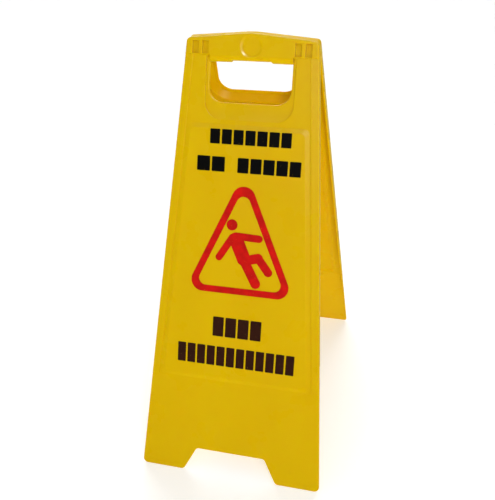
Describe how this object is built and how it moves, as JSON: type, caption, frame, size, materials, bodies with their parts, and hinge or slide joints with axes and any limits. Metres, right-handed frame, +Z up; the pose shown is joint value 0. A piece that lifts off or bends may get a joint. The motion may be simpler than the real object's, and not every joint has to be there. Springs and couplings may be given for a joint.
{
  "type": "wet floor sign",
  "caption": "Folding A-frame floor hazard sign in yellow moulded plastic, with a handle bar, hand holes, arched feet and a top hinge.",
  "frame": {"origin": "on the floor, midway between the two front feet and the two rear feet, with the sign open", "axes": "+Z up, -Y towards the front panel's printed face, +X along the hinge axis to the front panel's right as seen from the front"},
  "size_m": [0.2808, 0.4358, 0.6224],
  "materials": {
    "moulded_plastic": "semi-gloss moulded polypropylene, warm yellow",
    "pin_plastic": "plain moulded, warm yellow",
    "upper_ink": "satin black print",
    "lower_ink": "satin dark brown print",
    "hazard_ink": "satin red print"
  },
  "bodies": {
    "front_leaf": {"front_panel": "moulded_plastic", "front_print_row_1": "upper_ink", "front_print_row_2": "upper_ink", "front_print_row_3": "lower_ink", "front_print_row_4": "lower_ink", "front_print_triangle": "hazard_ink", "front_print_figure": "hazard_ink", "hinge_pin_right": "pin_plastic"},
    "rear_leaf": {"rear_panel": "moulded_plastic", "rear_print_row_1": "upper_ink", "rear_print_row_2": "upper_ink", "rear_print_row_3": "lower_ink", "rear_print_row_4": "lower_ink", "rear_print_triangle": "hazard_ink", "rear_print_figure": "hazard_ink", "hinge_pin_left": "pin_plastic"}
  },
  "joints": [
    {"name": "fold", "type": "hinge", "parent": "front_leaf", "child": "rear_leaf", "pos_m": [0, 0, 0.59741], "axis": [1, 0, 0], "range_deg": [-37.8, 0]}
  ]
}
